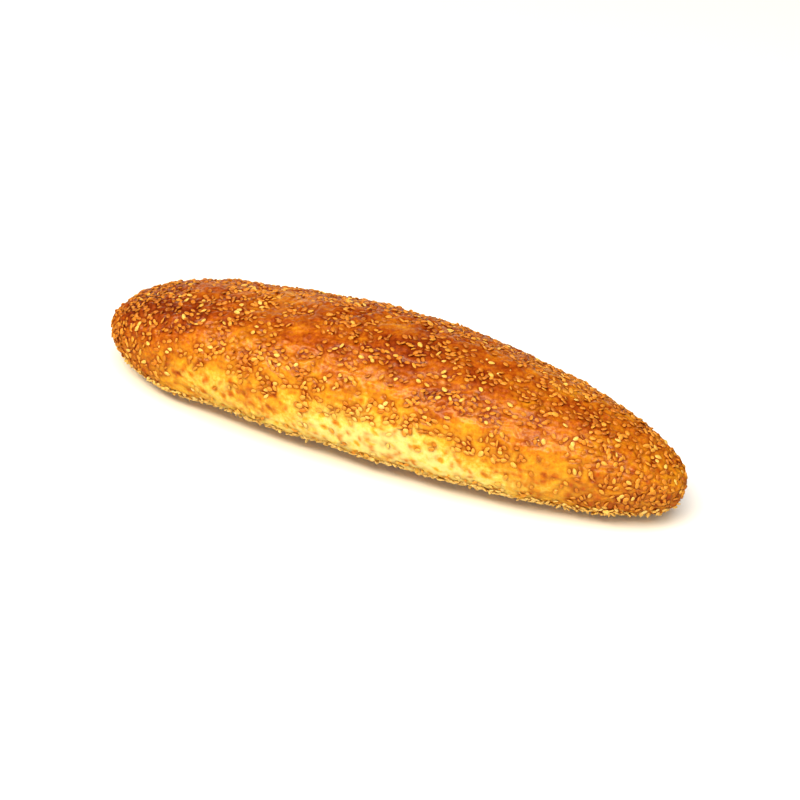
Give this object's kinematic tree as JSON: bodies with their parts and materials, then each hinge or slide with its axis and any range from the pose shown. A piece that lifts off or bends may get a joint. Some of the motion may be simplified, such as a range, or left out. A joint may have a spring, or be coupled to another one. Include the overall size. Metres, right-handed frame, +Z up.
{
  "type": "sesame roll",
  "caption": "Long soft bread roll with a golden crust covered in sesame seeds, a pale lower side, rounded tapering ends and a flat base.",
  "frame": {"origin": "middle of the flat base that the roll rests on", "axes": "+Z up, +X along the roll towards its slimmer end, +Y across it"},
  "size_m": [0.3004, 0.0808, 0.0587],
  "materials": {
    "crust": "baked golden-brown bread crust, satin, paler low on the sides",
    "sesame_seed": "toasted hulled sesame seed, cream to golden tan"
  },
  "bodies": {
    "root": {"roll": "crust"}
  },
  "joints": []
}
